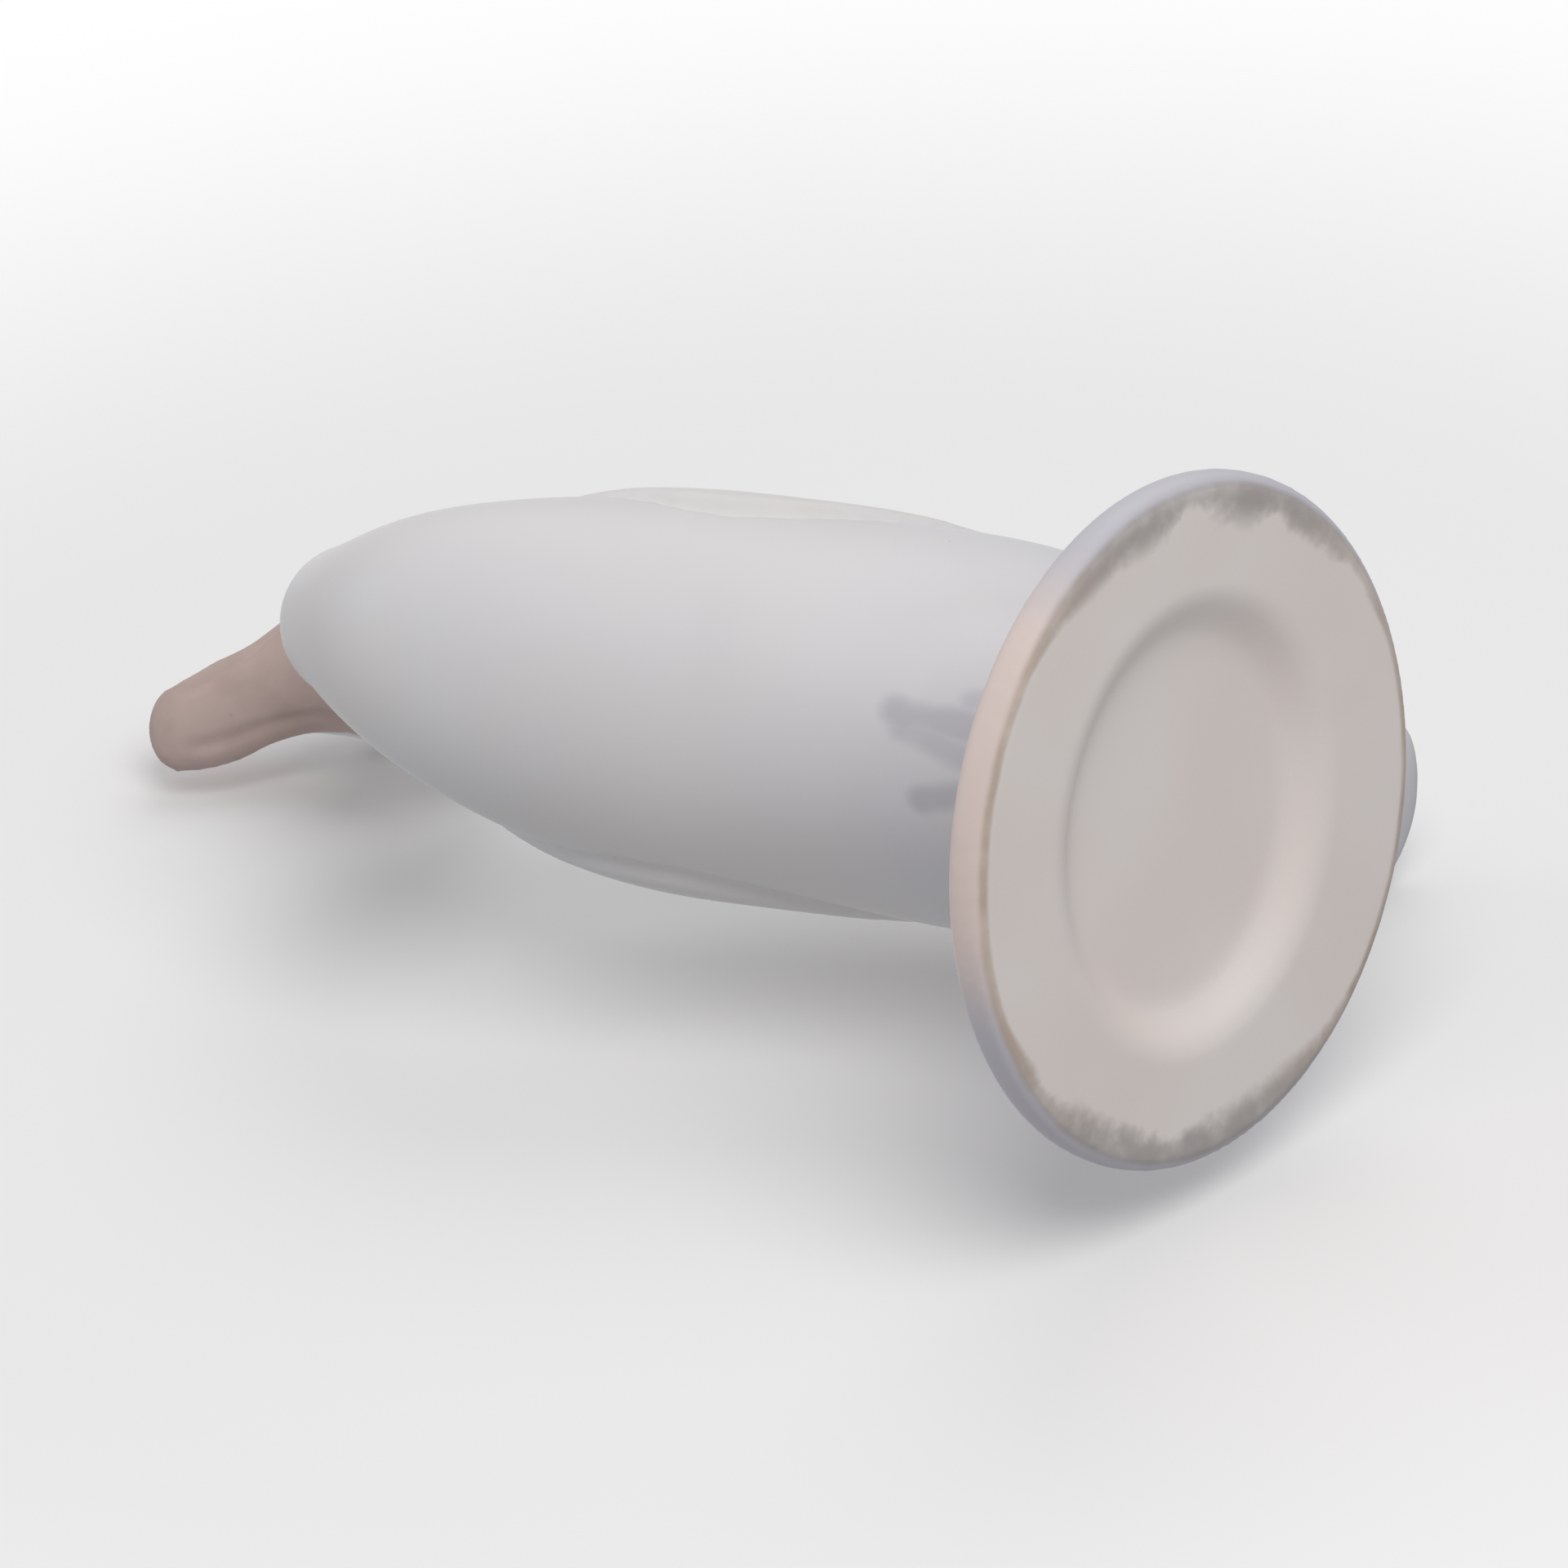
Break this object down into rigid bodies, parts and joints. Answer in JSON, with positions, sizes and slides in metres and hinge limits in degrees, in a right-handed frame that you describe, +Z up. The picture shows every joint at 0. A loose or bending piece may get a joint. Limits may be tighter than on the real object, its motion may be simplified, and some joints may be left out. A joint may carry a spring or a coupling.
{
  "type": "porcelain goose figurine",
  "caption": "Standing porcelain goose with folded wings, curved neck and turned head on an oval foot with a recessed underside.",
  "frame": {"origin": "middle of the figurine's footprint box, on the surface that its foot rests on", "axes": "+Z up from foot to bill, -Y towards the breast, +X towards the goose's own left"},
  "size_m": [0.0608, 0.0844, 0.129],
  "materials": {
    "porcelain": "satin matte, white, with lilac-grey shading, a beige bill and a bare warm white underside"
  },
  "bodies": {
    "root": {"goose_figurine": "porcelain"}
  },
  "joints": []
}
